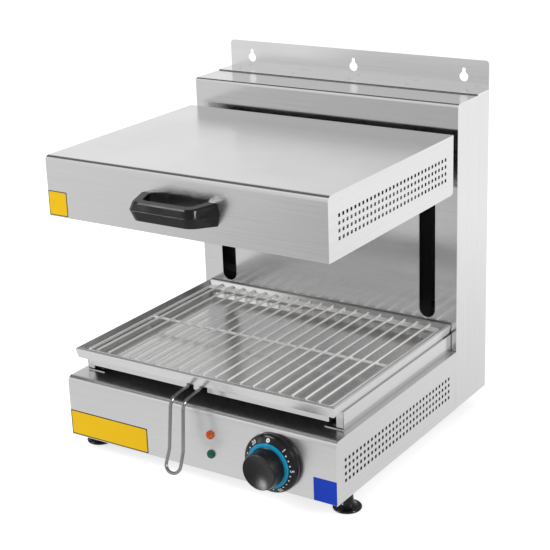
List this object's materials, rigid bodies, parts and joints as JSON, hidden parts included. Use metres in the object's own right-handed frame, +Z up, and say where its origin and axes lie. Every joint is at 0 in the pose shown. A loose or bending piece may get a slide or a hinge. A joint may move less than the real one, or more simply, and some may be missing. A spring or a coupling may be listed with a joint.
{
  "type": "cheese melter",
  "caption": "Countertop lift grill: a heated hood rides up and down a wall column over a sliding drip tray and wire grid; the base has a heat dial, two lamps and levelling feet.",
  "frame": {"origin": "centre of the whole grill's box, on the worktop under the feet", "axes": "+X to the right seen from the front, +Y from the front towards the wall, +Z up; the hood is in its raised working position at rest"},
  "size_m": [0.466, 0.511, 0.532],
  "materials": {
    "brushed_sheet": "fine brushed stainless sheet with a soft sheen",
    "inner_sheet": "dull plated steel",
    "bright_wire": "bright polished wire",
    "polished_pan": "polished reflector sheet",
    "ground_rod": "ground and polished bar",
    "spring_steel": "blued spring steel",
    "element_tube": "dark heat-stained tube",
    "ceramic": "glazed white ceramic",
    "bush_bronze": "oiled sintered bronze",
    "black_plastic": "black moulded plastic, satin",
    "buffer_rubber": "black rubber",
    "blue_trim": "bright blue plastic",
    "amber_lens": "translucent amber lens",
    "green_lens": "translucent green lens"
  },
  "bodies": {
    "frame": {"base_shell": "brushed_sheet", "base_side_left": "brushed_sheet", "base_side_right": "brushed_sheet", "base_floor": "inner_sheet", "column_front": "brushed_sheet", "column_side_left": "brushed_sheet", "column_side_right": "brushed_sheet", "column_back": "inner_sheet", "wall_bracket": "brushed_sheet", "tray_channel_left": "brushed_sheet", "tray_channel_right": "brushed_sheet", "foot_front_left": "black_plastic", "foot_front_right": "black_plastic", "foot_rear_left": "black_plastic", "foot_rear_right": "black_plastic", "foot_nuts": "inner_sheet", "scale_plate": "black_plastic", "lamp_lens_amber": "amber_lens", "lamp_lens_green": "green_lens", "lamp_bodies": "black_plastic", "power_regulator": "inner_sheet", "terminal_block": "ceramic", "cable_gland": "black_plastic", "guide_rod_left": "ground_rod", "guide_rod_right": "ground_rod", "rod_brackets": "inner_sheet", "lift_buffers": "buffer_rubber", "balance_bracket": "inner_sheet"},
    "head": {"hood_shell": "brushed_sheet", "hood_side_left": "brushed_sheet", "hood_side_right": "brushed_sheet", "hood_back": "brushed_sheet", "reflector": "polished_pan", "heating_element_front": "element_tube", "heating_element_rear": "element_tube", "element_supports": "inner_sheet", "element_insulators": "ceramic", "hood_handle": "black_plastic", "handle_screws": "inner_sheet", "carriage_arm_left": "inner_sheet", "carriage_arm_right": "inner_sheet", "carriage_bar": "inner_sheet", "guide_bushes": "bush_bronze", "balance_ribbons": "spring_steel"},
    "drum_left": {"balance_drum_left": "spring_steel"},
    "drum_right": {"balance_drum_right": "spring_steel"},
    "tray": {"drip_tray": "brushed_sheet", "tray_apron": "brushed_sheet", "tray_pull": "bright_wire"},
    "grid": {"grid_border": "bright_wire", "grid_cross_rods": "bright_wire", "grid_bars": "bright_wire"},
    "knob": {"control_knob": "black_plastic", "knob_ring": "blue_trim", "regulator_shaft": "inner_sheet"}
  },
  "joints": [
    {"name": "head_lift", "type": "slide", "parent": "frame", "child": "head", "axis": [0, 0, 1], "range_m": [-0.185, 0.01], "deforming": ["balance_ribbons"]},
    {"name": "drum_left_turn", "type": "hinge", "parent": "frame", "child": "drum_left", "pos_m": [-0.09, 0.1885, 0.464], "axis": [1, 0, 0], "range_deg": [-31, 570]},
    {"name": "drum_right_turn", "type": "hinge", "parent": "frame", "child": "drum_right", "pos_m": [0.09, 0.1885, 0.464], "axis": [1, 0, 0], "range_deg": [-31, 570]},
    {"name": "tray_slide", "type": "slide", "parent": "frame", "child": "tray", "axis": [0, -1, 0], "range_m": [0, 0.26]},
    {"name": "grid_lift", "type": "slide", "parent": "tray", "child": "grid", "axis": [0, 0, 1], "range_m": [0, 0.018]},
    {"name": "knob_turn", "type": "hinge", "parent": "frame", "child": "knob", "pos_m": [0.129, -0.2035, 0.0685], "axis": [0, 1, 0], "range_deg": [0, 320]}
  ],
  "couplings": [
    {"joint": "drum_left_turn", "follows": "head_lift", "rad_per_m": -53.76},
    {"joint": "drum_right_turn", "follows": "head_lift", "rad_per_m": -53.76}
  ]
}
